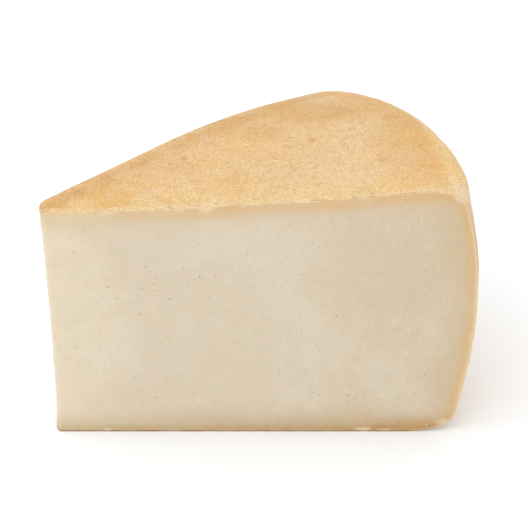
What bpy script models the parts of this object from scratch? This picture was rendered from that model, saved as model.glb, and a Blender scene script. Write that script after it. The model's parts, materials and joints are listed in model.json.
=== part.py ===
"""A wedge of hard, aged sheep's-milk cheese, cut from a low wheel and standing on its base.

Metres, +Z up. The front cut faces -Y, with the wheel's middle at its left end and the rim at
its right end. The origin is the bottom centre of the wedge's bounding box. The wedge is one
solid: the wheel's section, swept from the front cut to the back cut and closed by the two cuts.
"""

import math
import random

import bmesh
import bpy
from mathutils import Matrix, Vector, noise

for leftover in list(bpy.data.objects):
    bpy.data.objects.remove(leftover, do_unlink=True)

# The wheel
WHEEL_RADIUS = 0.1497  # at the belly, where the side is widest
MIDDLE_HEIGHT = 0.0898  # of the top above the base, at the wheel's middle
RIM_RISE = 0.0096  # how much higher the top is out at the rim, on the front cut
RIM_RISE_POWER = 1.5
RIM_LIFT = 0.0010  # the rim's top is a little higher still between the cuts
RIM_FULLNESS = 0.0010  # how far the rim stands out past a true circle between the cuts
RIM_FULLNESS_POWER = 0.6  # under 1, so it stands out most on the front cut's side
BELLY_HEIGHT = 0.0490
TOP_DRAW_IN = 0.0055  # how far the side leans in from the belly up to the top
TOP_DRAW_POWER = 2.8
FOOT_DRAW_IN = 0.0070  # how far it leans in from the belly down to the base
FOOT_DRAW_POWER = 1.6
SHOULDER_REACH = 0.0105  # the rounding between top and side, measured across and down
SHOULDER_DROP = 0.0053
FOOT_REACH = 0.0195  # the rounding between side and base, measured across and up
FOOT_RISE = 0.0085

# The cuts, which miss each other at the wheel's middle and leave a blunt, rounded tip
WEDGE_ANGLE = math.radians(42.5)
TIP_WIDTH = 0.0102
TIP_BULGE = 0.0021
TIP_LEAN = 0.0008  # how far the tip's edge stands out at the top
TIP_LEAN_POWER = 2.5

# Towards the back cut the top swells a little half-way out and sinks at the rim
SWELL = 0.0048
SAG = 0.0330
SAG_START = 0.37  # of the way from the middle to the rim
SAG_POWER = 2
SAG_SWEEP_POWER = 4

# Relief: bumps on the rind, a nearly even cut, and the ragged line where the knife left the rind
RIND_RELIEF = 0.00035
RIND_BUMPS = 55.0  # per metre
CUT_RELIEF = 0.00012
CUT_BUMPS = 70.0
FINER = 2.1  # a second layer of bumps, so much finer and half as high
CHIP_DEPTH = 0.0008
CHIPS = 95.0  # per metre
CHIPS_START = 0.010  # from the tip

# The largest eyes and slits in the front cut: radius, height, half length, half height, tilt
FRONT_EYES = (
    (0.0215, 0.0605, 0.0006, 0.0005, 0),
    (0.0335, 0.0605, 0.0007, 0.0006, 0),
    (0.0350, 0.0690, 0.0010, 0.0004, -30),
    (0.0380, 0.0640, 0.0006, 0.0005, 20),
    (0.0390, 0.0575, 0.0007, 0.0005, 30),
    (0.0430, 0.0560, 0.0017, 0.0005, -8),
    (0.0285, 0.0535, 0.0012, 0.0004, 10),
    (0.0325, 0.0495, 0.0010, 0.0008, 0),
    (0.0880, 0.0665, 0.0011, 0.0005, -25),
    (0.1010, 0.0485, 0.0008, 0.0006, 0),
    (0.1145, 0.0485, 0.0007, 0.0005, 0),
    (0.1285, 0.0555, 0.0014, 0.0004, -20),
    (0.1310, 0.0670, 0.0007, 0.0005, 0),
    (0.0925, 0.0170, 0.0010, 0.0005, -15),
    (0.0975, 0.0155, 0.0007, 0.0004, -10),
    (0.1050, 0.0160, 0.0018, 0.0005, 0),
)
EYE_DEPTH = 1.3  # times its half height

# The smaller ones, and all of the back cut's, are drawn at random and gather in the same place
MORE_FRONT_EYES = 8
BACK_EYES = 20
EYE_HALF_HEIGHTS = (0.0004, 0.0007)
EYE_STRETCHES = (1.1, 3.2)
EYE_TILTS = (-30, 30)
EYE_CLEARANCE = 0.0065  # from the next eye
EYE_MARGIN = 0.0090  # from the tip, the top and the base
DRIFT = (0.040, 0.055)  # radius and height
DRIFT_SPREAD = 0.018
SEED = 7

# How finely the surfaces are divided
COLUMNS = 26  # from the tip to the rim
SWEEP_STEPS = 16  # from the front cut to the back cut
SHOULDER_STEPS = 4
SIDE_STEPS = 12
FOOT_STEPS = 6
CROWDING = 0.6  # how much closer together the sweeps stand near the cuts
SHARP_ANGLE = math.radians(40)

RIND, PASTE = 0, 1  # material slots
RIND_COLOUR = (0.80, 0.55, 0.27, 1.0)
PASTE_COLOUR = (0.71, 0.60, 0.44, 1.0)
RIND_ROUGHNESS = 0.62
PASTE_ROUGHNESS = 0.55


def mix(start, end, share):
    """The value that lies the given share of the way from start to end."""
    return start + (end - start) * share


def back_rim_angle():
    """The angle round the wheel at which the back cut leaves the wheel's side."""
    return WEDGE_ANGLE + math.asin(TIP_WIDTH * math.cos(WEDGE_ANGLE) / WHEEL_RADIUS)


def place(radius, height, sweep):
    """A point of the wedge: its distance from the tip, its height, and how far it is swept, 0 to 1.

    Each sweep is a straight line in plan, from the blunt tip to the rim.
    """
    turn = math.pi * sweep
    lean = TIP_LEAN * max(0.0, height / MIDDLE_HEIGHT) ** TIP_LEAN_POWER
    tip = Vector((TIP_BULGE * (1 - math.sin(turn)) - lean, TIP_WIDTH * (1 - math.cos(turn)) / 2))
    angle = back_rim_angle() * sweep
    rim = Vector((math.cos(angle), math.sin(angle)))
    rim *= WHEEL_RADIUS + RIM_FULLNESS * math.sin(math.pi * sweep**RIM_FULLNESS_POWER)
    return tip.lerp(rim, radius / WHEEL_RADIUS).to_3d() + Vector((0.0, 0.0, height))


def top_height(radius, sweep):
    """Height of the top, without its fine relief."""
    out = radius / WHEEL_RADIUS
    rise = RIM_RISE * out**RIM_RISE_POWER + RIM_LIFT * out**3 * 4 * sweep * (1 - sweep)
    swell = SWELL * out * (1 - out) * sweep
    sag = SAG * max(0.0, out - SAG_START) ** SAG_POWER * sweep**SAG_SWEEP_POWER
    return MIDDLE_HEIGHT + rise + swell - sag


def chip(radius, sweep):
    """How far the rind's edge is broken down, along the two cuts only."""
    if 0.0 < sweep < 1.0:
        return 0.0
    ragged = max(0.0, noise.noise(Vector((radius * CHIPS, sweep * WHEEL_RADIUS * CHIPS, 0.5))))
    return CHIP_DEPTH * ragged * min(1.0, radius / CHIPS_START)


def side_radius(height):
    """The side's distance from the wheel's axis: widest at the belly, drawn in above and below."""
    if height > BELLY_HEIGHT:
        lean = (height - BELLY_HEIGHT) / (MIDDLE_HEIGHT + RIM_RISE - BELLY_HEIGHT)
        return WHEEL_RADIUS - TOP_DRAW_IN * lean**TOP_DRAW_POWER
    lean = (BELLY_HEIGHT - height) / BELLY_HEIGHT
    return WHEEL_RADIUS - FOOT_DRAW_IN * lean**FOOT_DRAW_POWER


def rim_line(sweep):
    """The section's outer line as (radius, height), from the top's edge down to the base's edge."""
    top_end = WHEEL_RADIUS - TOP_DRAW_IN - SHOULDER_REACH
    shoulder = top_height(top_end, sweep) - SHOULDER_DROP
    line = []
    for step in range(SHOULDER_STEPS):
        turn = 0.5 * math.pi * step / SHOULDER_STEPS
        radius = mix(top_end, side_radius(shoulder), math.sin(turn))
        line.append(Vector((radius, shoulder + SHOULDER_DROP * math.cos(turn))))
    for step in range(SIDE_STEPS):
        height = mix(shoulder, FOOT_RISE, step / SIDE_STEPS)
        line.append(Vector((side_radius(height), height)))
    for step in range(FOOT_STEPS + 1):
        turn = 0.5 * math.pi * step / FOOT_STEPS
        radius = side_radius(FOOT_RISE) - FOOT_REACH * (1 - math.cos(turn))
        line.append(Vector((radius, FOOT_RISE * (1 - math.sin(turn)))))
    return line


def section(sweep):
    """The section's points in rows, from its top line to its base line, each from tip to rim.

    The inside of the section is blended from its four sides, so the rows follow the rim's shape.
    """
    rim = rim_line(sweep)
    lengths = [(after - before).length for before, after in zip(rim, rim[1:])]
    top_end, base_end = rim[0], rim[-1]
    tip_top, tip_base = Vector((0.0, MIDDLE_HEIGHT)), Vector((0.0, 0.0))
    rows = []
    for number, outer in enumerate(rim):
        down = sum(lengths[:number]) / sum(lengths)
        inner = tip_top.lerp(tip_base, down)
        row = []
        for column in range(COLUMNS + 1):
            out = column / COLUMNS
            radius = top_end.x * out
            above = Vector((radius, top_height(radius, sweep) - chip(radius, sweep)))
            below = tip_base.lerp(base_end, out)
            corners = tip_top.lerp(top_end, out).lerp(below, down)
            point = above.lerp(below, down) + inner.lerp(outer, out) - corners
            row.append(place(*point, sweep))
        rows.append(row)
    return rows


def join(bm, before, after, slot):
    """Joins two rows of vertices with quads."""
    for number in range(len(before) - 1):
        corners = (before[number], before[number + 1], after[number + 1], after[number])
        bm.faces.new(corners).material_index = slot


def add_wedge(bm):
    """Adds the swept surface, which is top, rim, base and tip, and the two cuts as whole grids."""
    previous = None
    for step in range(SWEEP_STEPS + 1):
        even = step / SWEEP_STEPS
        rows = section(mix(even, (1 - math.cos(math.pi * even)) / 2, CROWDING))
        on_cut = step in (0, SWEEP_STEPS)
        last = len(rows) - 1
        grid = []
        for number, row in enumerate(rows):
            whole = on_cut or number in (0, last)
            grid.append([bm.verts.new(point) if whole or k in (0, COLUMNS) else None
                         for k, point in enumerate(row)])
        if on_cut:
            for upper, lower in zip(grid, grid[1:]):
                join(bm, upper, lower, PASTE)
        border = (grid[0], [row[-1] for row in grid], grid[-1], [row[0] for row in grid])
        if previous:
            for before, after, slot in zip(previous, border, (RIND, RIND, RIND, PASTE)):
                join(bm, before, after, slot)
        previous = border
    bmesh.ops.recalc_face_normals(bm, faces=bm.faces)


def add_relief(bm):
    """Pushes the surface in and out a little: bumpy on the rind, nearly even on the cuts."""
    bm.normal_update()
    moves = []
    for vertex in bm.verts:
        on_rind = all(face.material_index == RIND for face in vertex.link_faces)
        size, bumps = (RIND_RELIEF, RIND_BUMPS) if on_rind else (CUT_RELIEF, CUT_BUMPS)
        wave = noise.noise(vertex.co * bumps) + 0.5 * noise.noise(vertex.co * bumps * FINER)
        above_base = min(1.0, vertex.co.z / FOOT_RISE)
        moves.append(vertex.normal * wave * size * above_base)
    for vertex, move in zip(bm.verts, moves):
        vertex.co += move


def with_more_eyes(eyes, count, rng):
    """The eyes, with a count of random ones added inside the paste and clear of each other."""
    eyes = list(eyes)
    wanted = len(eyes) + count
    while len(eyes) < wanted:
        if len(eyes) % 3:
            radius, height = (rng.gauss(middle, DRIFT_SPREAD) for middle in DRIFT)
        else:
            radius = rng.uniform(0.0, 0.9) * WHEEL_RADIUS
            height = rng.uniform(0.0, 1.0) * MIDDLE_HEIGHT
        inside = EYE_MARGIN < radius and EYE_MARGIN < height < MIDDLE_HEIGHT - EYE_MARGIN
        if inside and all(math.dist((radius, height), eye[:2]) > EYE_CLEARANCE for eye in eyes):
            half_height = rng.uniform(*EYE_HALF_HEIGHTS)
            half_length = half_height * rng.uniform(*EYE_STRETCHES)
            eyes.append((radius, height, half_length, half_height, rng.uniform(*EYE_TILTS)))
    return eyes


def eye_cutter_mesh():
    """One mesh of small flattened balls that sink the eyes and slits into both cuts."""
    rng = random.Random(SEED)
    front_eyes = with_more_eyes(FRONT_EYES, MORE_FRONT_EYES, rng)
    back_eyes = with_more_eyes((), BACK_EYES, rng)
    bm = bmesh.new()
    for sweep, angle, eyes in ((0.0, 0.0, front_eyes), (1.0, WEDGE_ANGLE, back_eyes)):
        along_cut = Matrix.Rotation(angle, 4, "Z")
        for radius, height, half_length, half_height, tilt in eyes:
            turn = Matrix.Rotation(math.radians(tilt), 4, "Y")
            size = Matrix.Diagonal((half_length, EYE_DEPTH * half_height, half_height, 1.0))
            matrix = Matrix.Translation(place(radius, height, sweep)) @ along_cut @ turn @ size
            bmesh.ops.create_icosphere(bm, subdivisions=1, radius=1.0, matrix=matrix)
    mesh = bpy.data.meshes.new("eye_cutters")
    bm.to_mesh(mesh)
    bm.free()
    return mesh


def wedge_mesh():
    """The wedge's mesh with its relief, before the eyes are cut."""
    bm = bmesh.new()
    add_wedge(bm)
    add_relief(bm)
    mesh = bpy.data.meshes.new("cheese_wedge")
    bm.to_mesh(mesh)
    bm.free()
    return mesh


def surface_material(name, colour, roughness):
    """A plain material for one surface of the cheese."""
    made = bpy.data.materials.new(name)
    made.use_nodes = True
    shader = made.node_tree.nodes["Principled BSDF"]
    shader.inputs["Base Color"].default_value = colour
    shader.inputs["Roughness"].default_value = roughness
    shader.inputs["Metallic"].default_value = 0.0
    return made


def stand_on_origin(mesh, *others):
    """Moves the meshes together so that the first one stands with its box's middle on the origin."""
    points = [vertex.co for vertex in mesh.vertices]
    low = Vector([min(point[axis] for point in points) for axis in range(3)])
    high = Vector([max(point[axis] for point in points) for axis in range(3)])
    shift = Matrix.Translation((-(low.x + high.x) / 2, -(low.y + high.y) / 2, -low.z))
    for each in (mesh, *others):
        each.transform(shift)


def main():
    """Builds the wedge and cuts its eyes."""
    mesh = wedge_mesh()
    mesh.materials.append(surface_material("rind", RIND_COLOUR, RIND_ROUGHNESS))
    mesh.materials.append(surface_material("paste", PASTE_COLOUR, PASTE_ROUGHNESS))
    cutter_mesh = eye_cutter_mesh()
    stand_on_origin(mesh, cutter_mesh)
    mesh.shade_smooth()
    mesh.set_sharp_from_angle(angle=SHARP_ANGLE)

    wedge = bpy.data.objects.new("cheese_wedge", mesh)
    cutters = bpy.data.objects.new("eye_cutters", cutter_mesh)
    cutters.display_type = "WIRE"
    cutters.hide_render = True
    for made in (wedge, cutters):
        bpy.context.collection.objects.link(made)
    eyes = wedge.modifiers.new("eyes", "BOOLEAN")
    eyes.operation = "DIFFERENCE"
    eyes.solver = "EXACT"
    eyes.object = cutters


main()
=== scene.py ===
"""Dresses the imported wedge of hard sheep's-milk cheese and stands it on a pale studio floor.

Metres, +Z up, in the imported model's frame: the front cut faces -Y, with the wheel's middle at
its left end and the rim at its right end.
"""

import functools
import json
import logging
import math
import random
from dataclasses import dataclass, fields
from enum import Enum
from types import SimpleNamespace
from typing import Any, Callable, NamedTuple

import bpy
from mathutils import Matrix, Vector

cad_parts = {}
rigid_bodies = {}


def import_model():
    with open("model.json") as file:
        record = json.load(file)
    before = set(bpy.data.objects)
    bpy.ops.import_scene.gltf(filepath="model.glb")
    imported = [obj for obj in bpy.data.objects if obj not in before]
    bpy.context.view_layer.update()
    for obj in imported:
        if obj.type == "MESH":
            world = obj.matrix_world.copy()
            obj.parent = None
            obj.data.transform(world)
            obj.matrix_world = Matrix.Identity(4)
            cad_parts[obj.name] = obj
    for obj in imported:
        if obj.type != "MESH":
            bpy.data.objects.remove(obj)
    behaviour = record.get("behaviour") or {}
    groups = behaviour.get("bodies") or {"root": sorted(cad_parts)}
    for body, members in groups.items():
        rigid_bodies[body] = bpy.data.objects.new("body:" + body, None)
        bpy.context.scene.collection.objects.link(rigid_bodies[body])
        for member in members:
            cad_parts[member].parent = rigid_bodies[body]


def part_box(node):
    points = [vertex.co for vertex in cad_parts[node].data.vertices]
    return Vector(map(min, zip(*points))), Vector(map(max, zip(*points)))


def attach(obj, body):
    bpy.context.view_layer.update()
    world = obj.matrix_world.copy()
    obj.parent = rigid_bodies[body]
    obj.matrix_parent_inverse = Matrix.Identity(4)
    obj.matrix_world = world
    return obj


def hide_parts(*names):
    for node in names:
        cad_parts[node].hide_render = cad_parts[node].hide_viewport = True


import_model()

LOG = logging.getLogger("cheese")

NODE = "cheese_wedge"
BODY = "root"
MM = 0.001
SHARP_ANGLE = math.radians(38)

Colour = tuple[float, float, float, float]
Light = tuple[float, float, float]
# How strongly the studio lights the top and the front cut, and what their gloss adds
TOP_LIGHT = (1.219, 1.221, 1.238)
FRONT_LIGHT = (1.101, 1.116, 1.129)
GLOSS = 0.02
# How far red, green and blue light spread under the paste's surface
PASTE_SPREAD = (0.0040, 0.0022, 0.0010)
RIND_SPREAD = (0.0016, 0.0008, 0.0004)
SHINE = 0.30


def paint(red: float, green: float, blue: float, light: Light) -> Colour:
    """The colour that a surface needs to show as this one on a screen.

    Args:
        red: The red value on the screen, from 0 to 255.
        green: The green value.
        blue: The blue value.
        light: How strongly the surface is lit in red, green and blue, where 1 shows it as it
            is but for its gloss.

    Returns:
        The linear red, green and blue, and an alpha of 1.
    """
    shares = (red / 255, green / 255, blue / 255)
    linear = [((share + 0.055) / 1.055) ** 2.4 for share in shares]
    return (*((each - GLOSS) / lit for each, lit in zip(linear, light)), 1.0)


def operation(name: str, reflected: bool = False) -> Callable[..., "Value"]:
    """Makes a method of Value, which adds the node of one operation.

    Args:
        name: The node's operation.
        reflected: Whether the value comes after the other operand.

    Returns:
        The method.
    """
    def method(self: "Value", *others: Any) -> "Value":
        """The result for this value and the others."""
        operands = (*others, self) if reflected else (self, *others)
        return self.combine(name, *operands)

    return method


class Value:
    """A node's output socket. An expression on it adds its Math or Vector Math nodes."""

    def __init__(self, graph: "Graph", socket: bpy.types.NodeSocket) -> None:
        """Keeps the socket and the graph that it belongs to."""
        self.graph = graph
        self.socket = socket

    def combine(self, operation: str, *operands: Any, output: int = 0) -> "Value":
        """Adds one Math node, or a Vector Math node where an operand is a vector.

        Args:
            operation: The node's operation.
            operands: What goes into its inputs, in order.
            output: The number of the output to use.

        Returns:
            The node's result.
        """
        sockets = [each.socket for each in operands if isinstance(each, Value)]
        vector = any(socket.type == "VECTOR" for socket in sockets)
        kind = "ShaderNodeVectorMath" if vector else "ShaderNodeMath"
        inputs = dict(enumerate(operands))
        return self.graph.add(kind, inputs, output, operation=operation)

    __add__ = operation("ADD")
    __radd__ = operation("ADD", reflected=True)
    __sub__ = operation("SUBTRACT")
    __rsub__ = operation("SUBTRACT", reflected=True)
    __mul__ = operation("MULTIPLY")
    __rmul__ = operation("MULTIPLY", reflected=True)
    __truediv__ = operation("DIVIDE")
    __rtruediv__ = operation("DIVIDE", reflected=True)
    __pow__ = operation("POWER")
    lowest = operation("MINIMUM")
    highest = operation("MAXIMUM")
    sine = operation("SINE")
    cosine = operation("COSINE")
    arcsine = operation("ARCSINE")
    size = operation("ABSOLUTE")

    def distance(self, point: Any) -> "Value":
        """The distance from this point to another."""
        return self.combine("DISTANCE", self, point, output=1)

    def dot(self, other: Any) -> "Value":
        """The dot product of this vector and another."""
        return self.combine("DOT_PRODUCT", self, other, output=1)

    def clamped(self) -> "Value":
        """This value, held between 0 and 1."""
        return self.highest(0.0).lowest(1.0)

    def ramp(self, start: Any, end: Any) -> "Value":
        """Runs smoothly from 0 where this value is at start to 1 where it is at end.

        Args:
            start: The value that gives 0.
            end: The value that gives 1, which may be the lower of the two.

        Returns:
            The share, from 0 to 1.
        """
        inputs = {"Value": self, "From Min": start, "From Max": end}
        return self.graph.add("ShaderNodeMapRange", inputs, interpolation_type="SMOOTHSTEP")

    def part(self, axis: str) -> "Value":
        """The X, Y or Z of this vector."""
        return self.graph.add("ShaderNodeSeparateXYZ", {0: self}, axis)

    def output(self, name: str) -> "Value":
        """Another output of this value's node."""
        return Value(self.graph, self.socket.node.outputs[name])


class Graph:
    """A node tree that is being built."""

    def __init__(self, tree: bpy.types.NodeTree) -> None:
        """Keeps the tree."""
        self.tree = tree

    def add(
        self,
        kind: str,
        inputs: dict[int | str, Any] | None = None,
        output: int | str = 0,
        **settings: Any,
    ) -> Value:
        """Adds any node.

        Args:
            kind: The node's type.
            inputs: The value or link of each of its sockets, by name or number.
            output: The name or number of the output to return.
            settings: The node's own settings, which are set first.

        Returns:
            One of the node's outputs.
        """
        node = self.tree.nodes.new(kind)
        for name, setting in settings.items():
            setattr(node, name, setting)
        for key, value in (inputs or {}).items():
            self.feed(node.inputs[key], value)
        return Value(self, node.outputs[output])

    def feed(self, socket: bpy.types.NodeSocket, value: Any) -> None:
        """Links a value to a socket, or sets the socket to a constant."""
        if isinstance(value, Value):
            self.tree.links.new(value.socket, socket)
        elif socket.type == "VECTOR" and isinstance(value, (int, float)):
            socket.default_value = (value, value, value)
        else:
            socket.default_value = value

    def noise(self, point: Value, grain: float, detail: float = 2.0, **inputs: float) -> Value:
        """Smooth random values about 0.5.

        Args:
            point: Where to read them, in metres.
            grain: The size of the largest features, in metres.
            detail: How many finer layers there are.
            inputs: The node's other inputs, by name in lower case.

        Returns:
            The values, from 0 to 1.
        """
        given = {name.capitalize(): value for name, value in inputs.items()}
        return self.add("ShaderNodeTexNoise",
                        {"Vector": point, "Scale": 1 / grain, "Detail": detail, **given})

    def vector(self, x: Any, y: Any, z: Any) -> Value:
        """A vector from its three parts."""
        return self.add("ShaderNodeCombineXYZ", {0: x, 1: y, 2: z})


class GeometryTree(Graph):
    """A Geometry Nodes tree with named inputs, which is run once on an object."""

    def __init__(self, name: str) -> None:
        """Makes the tree with its geometry input and output."""
        super().__init__(bpy.data.node_groups.new(name, "GeometryNodeTree"))
        self.group_input = self.tree.nodes.new("NodeGroupInput")
        self.group_output = self.tree.nodes.new("NodeGroupOutput")
        self.given: dict[str, Any] = {}
        self.tree.interface.new_socket(
            "Geometry", in_out="OUTPUT", socket_type="NodeSocketGeometry")
        self.geometry = self.input("Geometry", "Geometry", None)

    def input(self, name: str, kind: str, value: Any) -> Value:
        """Adds a named input.

        Args:
            name: The input's name.
            kind: The kind of socket, such as Float.
            value: What the modifier gives it.

        Returns:
            The input, for use in the tree.
        """
        made = self.tree.interface.new_socket(
            name, in_out="INPUT", socket_type="NodeSocket" + kind)
        if value is not None:
            self.given[made.identifier] = value
        sockets = {socket.identifier: socket for socket in self.group_input.outputs}
        return Value(self, sockets[made.identifier])

    def sizes(self, holder: Any) -> SimpleNamespace:
        """Adds a named input for each number that a dataclass holds.

        Args:
            holder: The dataclass.

        Returns:
            The inputs, under the fields' names.
        """
        made = SimpleNamespace()
        for each in fields(holder):
            value = getattr(holder, each.name)
            kind = "Int" if isinstance(value, int) else "Float"
            label = each.name.replace("_", " ").capitalize()
            setattr(made, each.name, self.input(label, kind, value))
        return made

    def attribute(self, name: str, data_type: str = "FLOAT") -> Value:
        """Reads a named attribute of the geometry."""
        inputs = {"Name": name}
        return self.add("GeometryNodeInputNamedAttribute", inputs, data_type=data_type)

    def store(self, geometry: Value, name: str, value: Value) -> Value:
        """Stores a number on the geometry's face corners, where a Boolean keeps it.

        Args:
            geometry: The geometry.
            name: The attribute's name.
            value: What it holds.

        Returns:
            The geometry with the attribute.
        """
        inputs = {"Geometry": geometry, "Name": name, "Value": value}
        return self.add("GeometryNodeStoreNamedAttribute", inputs, domain="CORNER")

    def dressed(self, geometry: Value, material: Value, selection: Any = True) -> Value:
        """Gives the selected faces a material."""
        inputs = {"Geometry": geometry, "Selection": selection, "Material": material}
        return self.add("GeometryNodeSetMaterial", inputs)

    def random(self, low: Any, high: Any, seed: Any) -> Value:
        """A random number from low to high for each point."""
        inputs = {2: low, 3: high, "Seed": seed}
        return self.add("FunctionNodeRandomValue", inputs, 1)

    def run(self, piece: bpy.types.Object, result: Value) -> None:
        """Puts the tree's result on an object as its plain mesh.

        Args:
            piece: The object, whose mesh goes into the tree.
            result: The geometry that the tree ends in.
        """
        self.feed(self.group_output.inputs[0], result)
        modifier = piece.modifiers.new(self.tree.name, "NODES")
        modifier.node_group = self.tree
        for identifier, value in self.given.items():
            modifier[identifier] = value
        depsgraph = bpy.context.evaluated_depsgraph_get()
        mesh = bpy.data.meshes.new_from_object(
            piece.evaluated_get(depsgraph), preserve_all_data_layers=True, depsgraph=depsgraph)
        for place in reversed(range(len(mesh.materials))):
            if mesh.materials[place] is None:
                mesh.materials.pop(index=place)
        piece.modifiers.remove(modifier)
        piece.data = mesh


class MaterialGraph(Graph):
    """The nodes of one material round its Principled shader."""

    def __init__(self, name: str) -> None:
        """Makes the material."""
        self.material = bpy.data.materials.new(name)
        self.material.use_nodes = True
        super().__init__(self.material.node_tree)
        self.shader = self.tree.nodes["Principled BSDF"]
        self.point = self.add("ShaderNodeTexCoord", output="Object")

    def attribute(self, name: str) -> Value:
        """Reads a number that the mesh holds."""
        return self.add("ShaderNodeAttribute", output="Fac", attribute_name=name)

    def mix(self, first: Any, second: Any, share: Any, blend: str = "MIX") -> Value:
        """Blends two colours.

        Args:
            first: The colour where the share is 0.
            second: The colour where the share is 1.
            share: The share of the second colour.
            blend: The kind of blend.

        Returns:
            The blended colour.
        """
        inputs = {0: share, 6: first, 7: second}
        return self.add("ShaderNodeMix", inputs, 2, data_type="RGBA", blend_type=blend)

    def shade(self, colour: Any, amount: Value, tint: tuple = (1.0, 1.0, 1.0)) -> Value:
        """Lightens a colour by a share about 0.

        Args:
            colour: The colour.
            amount: The share, which darkens where it is below 0.
            tint: How much of the share each of red, green and blue takes.

        Returns:
            The lighter or darker colour.
        """
        shares = {place: 1 + amount * each for place, each in enumerate(tint)}
        return self.mix(colour, self.add("ShaderNodeCombineColor", shares), 1.0, "MULTIPLY")

    def stretched(self, way: tuple[float, float, float], share: Value) -> Value:
        """A vector times a number that varies."""
        inputs = {0: way, "Scale": share}
        return self.add("ShaderNodeVectorMath", inputs, operation="SCALE")

    def bump(self, height: Value, depth: float) -> Value:
        """A normal from a height of 0 to 1 that stands for a depth in metres."""
        return self.add("ShaderNodeBump", {"Height": height, "Distance": depth, "Strength": 1.0})

    def layers(self, colour: Any, *coats: tuple[Any, Any]) -> Any:
        """Mixes one colour after another over a colour, each with its share."""
        for coat, share in coats:
            colour = self.mix(colour, coat, share)
        return colour

    def finish(self, colour: Any, roughness: Any, shine: float = SHINE,
               normal: Value | None = None, glow: float = 0.0,
               spread: Light = PASTE_SPREAD) -> bpy.types.Material:
        """Sets the shader's sockets.

        Args:
            colour: The surface's colour.
            roughness: Its roughness.
            shine: How much it reflects, as a constant.
            normal: The normal from a bump.
            glow: The share of the light that passes under the surface, as a constant.
            spread: How far that light's red, green and blue go, in metres.

        Returns:
            The finished material.
        """
        links = {"Base Color": colour, "Roughness": roughness, "Specular IOR Level": shine,
                 "Subsurface Weight": glow, "Subsurface Radius": spread, "Subsurface Scale": 1.0}
        if normal:
            links["Normal"] = normal
        for name, value in links.items():
            self.feed(self.shader.inputs[name], value)
        return self.material


@dataclass(frozen=True)
class WedgeSizes:
    """The wheel's section and the wedge that is cut from it, in metres, as the solid has them."""

    wheel_radius: float = 0.1497
    middle_height: float = 0.0898
    rim_rise: float = 0.0096
    rim_rise_power: float = 1.5
    rim_lift: float = 0.0010
    rim_fullness: float = 0.0016
    rim_fullness_power: float = 0.9
    belly_height: float = 0.0490
    top_draw_in: float = 0.0060
    corner_wear: float = 0.0017
    corner_reach: float = 0.12
    corner_drop: float = 0.30
    top_draw_power: float = 2.8
    foot_draw_in: float = 0.0070
    foot_draw_power: float = 1.6
    shoulder_reach: float = 0.0105
    shoulder_drop: float = 0.0053
    foot_reach: float = 0.0195
    foot_rise: float = 0.0085
    wedge_angle: float = math.radians(42.5)
    tip_width: float = 0.0102
    tip_bulge: float = 0.0021
    tip_lean: float = 0.0008
    tip_lean_power: float = 2.5
    tip_hollow: float = 0.0006
    tip_hollow_power: float = 0.6
    swell: float = 0.0050
    swell_power: float = 0.7
    sag: float = 0.0330
    sag_start: float = 0.37
    sag_power: float = 2.0
    sag_sweep_power: float = 4.0


FRONT_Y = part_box(NODE)[0].y
TIP_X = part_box(NODE)[0].x + WedgeSizes().tip_lean
TIP_Y = FRONT_Y + WedgeSizes().tip_width


@dataclass(frozen=True)
class Stain:
    """A patch of another colour on the rind's top: its middle and radius in millimetres."""

    x: float
    y: float
    radius: float
    colour: Colour
    strength: float
    unevenness: float = 1.0

    def share(self, flat: Value, wander: Value) -> Value:
        """How much of the patch shows at a point of the top.

        Args:
            flat: The point, at a height of 0.
            wander: How far the patch's outline strays there.

        Returns:
            The share of the patch's colour.
        """
        away = flat.distance((self.x * MM, self.y * MM, 0.0)) + wander * self.unevenness
        return away.ramp(self.radius * 1.25 * MM, self.radius * 0.4 * MM)


GOLD = paint(238, 198, 140, TOP_LIGHT)
BROWN = paint(221, 171, 108, TOP_LIGHT)
ORANGE = paint(237, 187, 117, TOP_LIGHT)
BLOOM = paint(241, 211, 170, TOP_LIGHT)
BUTTER = paint(244, 209, 152, TOP_LIGHT)
CHALK = paint(246, 224, 190, TOP_LIGHT)
RUST = paint(206, 144, 88, TOP_LIGHT)
# Painted shade of a small pit on the rind's top
PIT_SHADE = paint(178, 128, 68, TOP_LIGHT)

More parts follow.
